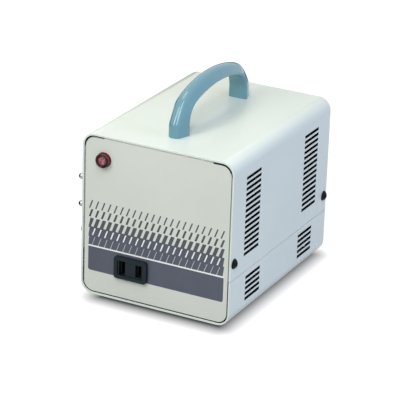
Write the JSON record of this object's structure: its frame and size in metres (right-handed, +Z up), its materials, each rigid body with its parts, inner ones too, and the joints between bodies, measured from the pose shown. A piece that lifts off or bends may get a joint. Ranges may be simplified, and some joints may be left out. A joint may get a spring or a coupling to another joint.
{
  "type": "step-down transformer box",
  "caption": "Bench-top mains step-down transformer in a slotted sheet-metal case with a moulded carry handle, pilot lamp, two-blade outlet, side toggle switches and a rear fuse.",
  "frame": {"origin": "on the plane the feet stand on, under the middle of the sheet case", "axes": "+Z up, the front panel faces -Y, +X to the right seen from the front"},
  "size_m": [0.125, 0.1643, 0.1536],
  "materials": {
    "case_paint": "smooth off-white enamel",
    "panel_paint": "satin warm grey enamel",
    "handle_plastic": "moulded blue-grey plastic, soft sheen",
    "black_screw": "black oxide",
    "rubber": "matt",
    "black_plastic": "moulded, slightly glossy",
    "red_lens": "clear red, faceted",
    "bulb_glass": "clear",
    "plated_steel": "zinc plated",
    "chrome": "bright plated",
    "brass": "plain",
    "core_iron": "varnished laminations",
    "bobbin_plastic": "moulded",
    "copper_wire": "enamelled copper",
    "coil_tape": "polyester tape",
    "phenolic": "laminated board",
    "wire_skin": "insulation"
  },
  "bodies": {
    "case": {"upper_cover": "case_paint", "lower_tray": "case_paint", "front_panel": "panel_paint", "rear_panel": "panel_paint", "handle": "handle_plastic", "cover_screws": "black_screw", "feet": "rubber", "lamp_bezel": "black_plastic", "outlet_body": "black_plastic", "power_switch": "black_plastic", "selector_switch": "black_plastic", "fuse_holder": "black_plastic", "fuse_nut": "black_plastic", "cord_gland": "black_plastic", "gland_nut": "black_plastic", "lamp_lens": "red_lens", "neon_bulb": "bulb_glass", "fuse_glass": "bulb_glass", "handle_screws": "plated_steel", "foot_screws": "plated_steel", "foot_nuts": "plated_steel", "lamp_nut": "plated_steel", "core_brackets": "plated_steel", "core_bolts": "plated_steel", "core_nuts": "plated_steel", "mount_screws": "plated_steel", "mount_nuts": "plated_steel", "fuse_ends": "plated_steel", "lever_pins": "plated_steel", "switch_nuts": "chrome", "outlet_contacts": "brass", "switch_tags": "brass", "terminal_posts": "brass", "fuse_lug": "brass", "core": "core_iron", "bobbin": "bobbin_plastic", "primary_winding": "copper_wire", "secondary_winding": "copper_wire", "layer_tape": "coil_tape", "outer_tape": "coil_tape", "terminal_board": "phenolic", "output_leads": "wire_skin", "lamp_leads": "wire_skin", "switch_leads": "wire_skin"},
    "power_lever": {"power_lever": "chrome"},
    "selector_lever": {"selector_lever": "chrome"},
    "fuse_cap": {"fuse_cap": "black_plastic"}
  },
  "joints": [
    {"name": "power_toggle", "type": "hinge", "parent": "case", "child": "power_lever", "pos_m": [-0.0565, -0.0641, 0.0813], "axis": [0, 1, 0], "range_deg": [-26, 0]},
    {"name": "selector_toggle", "type": "hinge", "parent": "case", "child": "selector_lever", "pos_m": [-0.0565, -0.0641, 0.0611], "axis": [0, 1, 0], "range_deg": [-26, 0]},
    {"name": "fuse_cap_turn", "type": "hinge", "parent": "case", "child": "fuse_cap", "pos_m": [0.03, 0.0768, 0.099], "axis": [0, 1, 0], "range_deg": [0, 90]}
  ]
}
